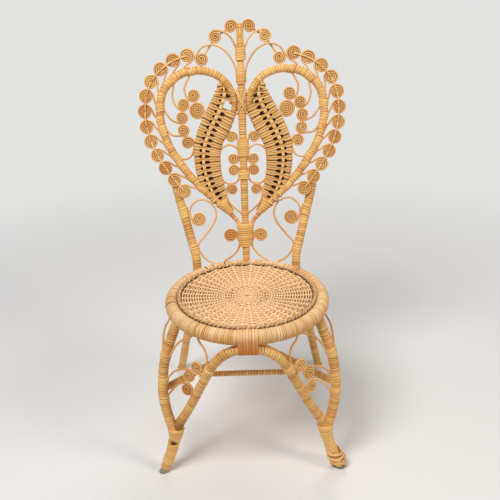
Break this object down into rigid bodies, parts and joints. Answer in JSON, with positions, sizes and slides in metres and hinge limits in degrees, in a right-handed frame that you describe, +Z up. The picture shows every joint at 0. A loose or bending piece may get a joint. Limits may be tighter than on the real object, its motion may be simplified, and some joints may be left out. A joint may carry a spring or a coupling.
{
  "type": "wicker chair",
  "caption": "Wicker chair with a round woven seat on splayed cane legs and a tall heart-shaped back of bent poles, woven leaves and reed scrolls.",
  "frame": {"origin": "on the floor, under the middle of the chair's bounding box", "axes": "+Z up, -Y the way a sitter faces, +X to the right as seen from the front"},
  "size_m": [0.4584, 0.439, 0.8744],
  "materials": {
    "pole_cane": "satin varnish over cane wound on poles",
    "woven_cane": "matt split cane, woven",
    "lash_cane": "satin split cane, wound",
    "reed_cane": "matt round reed"
  },
  "bodies": {
    "root": {"arch_scrolls_left": "reed_cane", "arch_scrolls_right": "reed_cane", "back_post_left": "pole_cane", "back_post_right": "pole_cane", "base_scroll_left": "reed_cane", "base_scroll_right": "reed_cane", "border_scrolls_left": "reed_cane", "border_scrolls_right": "reed_cane", "centre_lashing_lower": "lash_cane", "centre_lashing_upper": "lash_cane", "centre_pole": "pole_cane", "centre_reed_arched_left": "reed_cane", "centre_reed_arched_right": "reed_cane", "centre_reed_dipped_left": "reed_cane", "centre_reed_dipped_right": "reed_cane", "centre_reed_upper_left": "reed_cane", "centre_reed_upper_right": "reed_cane", "crown_lashing": "lash_cane", "crown_scroll_left": "reed_cane", "crown_scroll_right": "reed_cane", "finial_scroll_left": "reed_cane", "finial_scroll_right": "reed_cane", "foot_lashing_left": "lash_cane", "foot_lashing_right": "lash_cane", "front_arch": "pole_cane", "front_crossbar": "pole_cane", "front_leg_left": "pole_cane", "front_leg_right": "pole_cane", "heart_base_lashing": "lash_cane", "heart_bow_left": "pole_cane", "heart_bow_right": "pole_cane", "heart_crossing_lashing": "lash_cane", "leaf_foot_binding_left": "lash_cane", "leaf_foot_binding_right": "lash_cane", "leaf_foot_reed_left": "reed_cane", "leaf_foot_reed_right": "reed_cane", "leaf_rib_left": "pole_cane", "leaf_rib_right": "pole_cane", "leaf_weave_left": "woven_cane", "leaf_weave_right": "woven_cane", "lobe_scroll_pair_left": "reed_cane", "lobe_scroll_pair_right": "reed_cane", "lobe_scroll_row_left": "reed_cane", "lobe_scroll_row_right": "reed_cane", "post_scroll_left": "reed_cane", "post_scroll_right": "reed_cane", "seat_arc_left": "reed_cane", "seat_arc_right": "reed_cane", "seat_front_lashing": "lash_cane", "seat_panel": "woven_cane", "seat_ring": "pole_cane", "shoulder_lashing": "lash_cane", "shoulder_scroll_left": "reed_cane", "shoulder_scroll_right": "reed_cane", "side_arc_left": "reed_cane", "side_arc_right": "reed_cane", "stretcher_lower": "pole_cane", "stretcher_upper": "pole_cane"}
  },
  "joints": []
}
